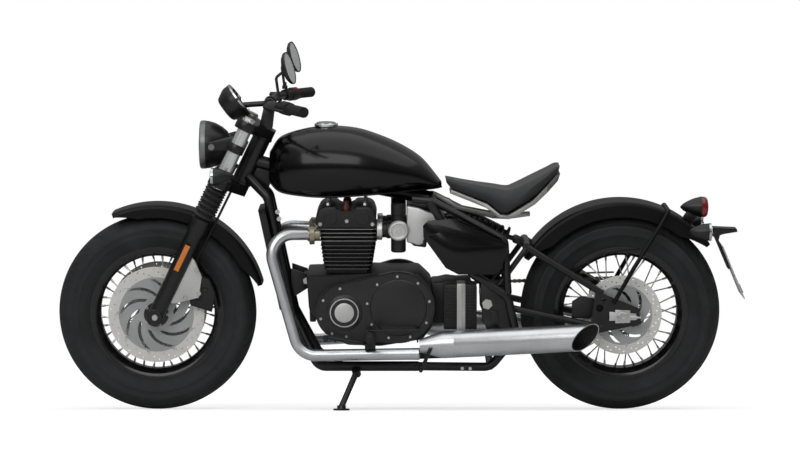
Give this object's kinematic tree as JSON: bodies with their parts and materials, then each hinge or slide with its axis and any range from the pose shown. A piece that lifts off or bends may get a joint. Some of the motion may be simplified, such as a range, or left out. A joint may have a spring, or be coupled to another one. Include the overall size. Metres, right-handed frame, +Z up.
{
  "type": "bobber motorcycle",
  "caption": "Low bobber motorcycle with wire wheels, a solo seat, a finned upright engine and slash-cut silencers, leaning on its side stand.",
  "frame": {"origin": "on the ground, under the middle of the bounding box", "axes": "+X to the rear of the machine, +Y to its right, +Z up; it leans to its left on the side stand"},
  "size_m": [2.2158, 0.8156, 1.2068],
  "materials": {
    "tyre": "matt, lightly dusty",
    "wheel_black": "semi-gloss black",
    "disc_steel": "ground",
    "sprocket_steel": "satin",
    "hard_chrome": "polished",
    "black_coat": "powder-coated satin black",
    "gaiter": "matt",
    "zinc_steel": "plated",
    "cast_black": "satin black",
    "gloss_black": "high gloss black",
    "soft_rubber": "matt",
    "switchgear": "matt black",
    "lamp_black": "gloss black",
    "red_lens": "clear red",
    "clear_lens": "clear over amber",
    "plate_white": "plain",
    "chain_steel": "oiled",
    "stainless": "brushed",
    "radiator_black": "matt black",
    "box_plastic": "grained",
    "pan_alloy": "brushed",
    "seat_vinyl": "soft matt vinyl"
  },
  "bodies": {
    "chassis": {"drive_chain": "chain_steel", "rear_mudguard": "gloss_black", "frame": "black_coat", "swingarm": "black_coat", "rear_shock": "black_coat", "rear_axle": "zinc_steel", "rear_caliper": "cast_black", "crankcase": "cast_black", "engine_covers": "cast_black", "cylinder_barrel": "cast_black", "cylinder_head": "cast_black", "throttle_bodies": "cast_black", "airbox": "box_plastic", "exhaust_headers": "stainless", "silencers": "stainless", "radiator": "radiator_black", "fuel_tank": "gloss_black", "fuel_cap": "hard_chrome", "side_covers": "gloss_black", "battery_box": "box_plastic", "seat_pan": "pan_alloy", "seat_pad": "seat_vinyl", "tail_lamp": "red_lens", "rear_indicators": "clear_lens", "plate_carrier": "black_coat", "number_plate": "plate_white", "footrests": "black_coat"},
    "front_wheel": {"front_tyre": "tyre", "front_wire_wheel": "wheel_black", "front_discs": "disc_steel"},
    "rear_wheel": {"rear_tyre": "tyre", "rear_wire_wheel": "wheel_black", "rear_disc": "disc_steel", "rear_sprocket": "sprocket_steel"},
    "steering": {"fork_stanchions": "hard_chrome", "fork_sliders": "black_coat", "fork_gaiters": "gaiter", "fork_yokes": "black_coat", "front_axle": "zinc_steel", "front_calipers": "cast_black", "front_mudguard": "gloss_black", "handlebar": "black_coat", "grips": "soft_rubber", "bar_controls": "switchgear", "mirrors": "lamp_black", "instrument": "lamp_black", "headlight": "lamp_black", "lamp_brackets": "black_coat", "brake_hoses": "soft_rubber"},
    "side_stand": {"side_stand": "black_coat"}
  },
  "joints": [
    {"name": "steering", "type": "hinge", "parent": "chassis", "child": "steering", "pos_m": [-0.73485, 0.10605, 0.2912], "axis": [0.4352, -0.1408, 0.8892], "range_deg": [-27, 27]},
    {"name": "front_wheel", "type": "hinge", "parent": "steering", "child": "front_wheel", "pos_m": [-0.78887, 0.10197, 0.317], "axis": [0, 0.9877, 0.1564], "continuous": true},
    {"name": "rear_wheel", "type": "hinge", "parent": "chassis", "child": "rear_wheel", "pos_m": [0.71113, 0.1015, 0.31996], "axis": [0, 0.9877, 0.1564], "continuous": true},
    {"name": "side_stand", "type": "hinge", "parent": "chassis", "child": "side_stand", "pos_m": [-0.14287, -0.0147, 0.12032], "axis": [-0.1318, -0.7191, 0.6823], "range_deg": [0, 102.8]}
  ]
}
